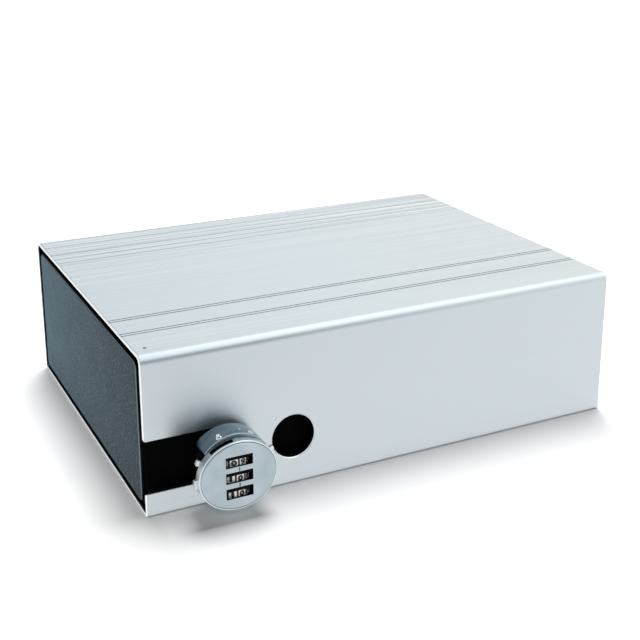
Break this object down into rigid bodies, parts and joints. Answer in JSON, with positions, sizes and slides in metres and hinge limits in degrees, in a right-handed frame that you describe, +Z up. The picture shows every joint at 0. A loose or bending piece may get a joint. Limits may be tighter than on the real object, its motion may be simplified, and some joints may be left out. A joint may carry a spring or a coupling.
{
  "type": "portable combination safe",
  "caption": "Portable safe: a brushed aluminium sleeve with a sliding drawer, locked by a round combination knob on its front.",
  "frame": {"origin": "middle of the sleeve's underside", "axes": "+X along the sleeve towards its closed end, +Y from the lock's side to the back, +Z up"},
  "size_m": [0.251, 0.208, 0.076],
  "materials": {
    "brushed_aluminium": "brushed satin anodised",
    "slate_paint": "fine powder coat",
    "black_paint": "matt powder coat",
    "zinc_steel": "zinc plated",
    "lock_chrome": "polished",
    "satin_chrome": "satin",
    "black_rubber": "matt",
    "white_slide_plastic": "smooth",
    "charcoal_foam": "soft closed-cell foam"
  },
  "bodies": {
    "sleeve": {"outer_sleeve": "brushed_aluminium", "end_cap": "slate_paint", "end_cap_screws": "zinc_steel", "keeper": "zinc_steel", "keeper_rivets": "zinc_steel", "front_glide": "white_slide_plastic", "back_glide": "white_slide_plastic", "stop_pin": "zinc_steel", "drawer_bumpers": "black_rubber"},
    "drawer": {"drawer_tray": "black_paint", "drawer_panel": "slate_paint", "panel_nuts": "zinc_steel", "stop_lug": "zinc_steel", "stop_lug_rivets": "zinc_steel", "foam_liner": "charcoal_foam", "lock_housing": "lock_chrome", "backing_plate": "zinc_steel", "backing_rivets": "zinc_steel", "lock_washer": "zinc_steel", "lock_nut": "zinc_steel", "lock_cover": "black_paint", "lock_cover_screws": "zinc_steel"},
    "knob": {"knob_ring": "lock_chrome", "knob_face": "satin_chrome", "wheel_carrier": "satin_chrome", "wheel_axle": "zinc_steel", "detent_springs": "zinc_steel", "spindle": "zinc_steel", "spindle_clip": "zinc_steel", "cam": "zinc_steel", "cam_screw": "zinc_steel"},
    "fence": {"fence_bar": "zinc_steel"},
    "top_wheel": {"number_wheel_top": "satin_chrome"},
    "middle_wheel": {"number_wheel_middle": "satin_chrome"},
    "bottom_wheel": {"number_wheel_bottom": "satin_chrome"}
  },
  "joints": [
    {"name": "drawer_slide", "type": "slide", "parent": "sleeve", "child": "drawer", "axis": [-1, 0, 0], "range_m": [0, 0.17]},
    {"name": "knob_turn", "type": "hinge", "parent": "drawer", "child": "knob", "pos_m": [-0.0896, -0.0935, 0.0221], "axis": [0, 1, 0], "range_deg": [0, 90]},
    {"name": "fence_slide", "type": "slide", "parent": "knob", "child": "fence", "axis": [-1, 0, 0], "range_m": [0, 0.0009]},
    {"name": "top_wheel_spin", "type": "hinge", "parent": "knob", "child": "top_wheel", "pos_m": [-0.0896, -0.1066, 0.0221], "axis": [0, 0, 1], "continuous": true},
    {"name": "middle_wheel_spin", "type": "hinge", "parent": "knob", "child": "middle_wheel", "pos_m": [-0.0896, -0.1066, 0.0221], "axis": [0, 0, 1], "continuous": true},
    {"name": "bottom_wheel_spin", "type": "hinge", "parent": "knob", "child": "bottom_wheel", "pos_m": [-0.0896, -0.1066, 0.0221], "axis": [0, 0, 1], "continuous": true}
  ],
  "couplings": [
    {"joint": "fence_slide", "follows": "knob_turn", "m_per_rad": 0.00057238}
  ]
}
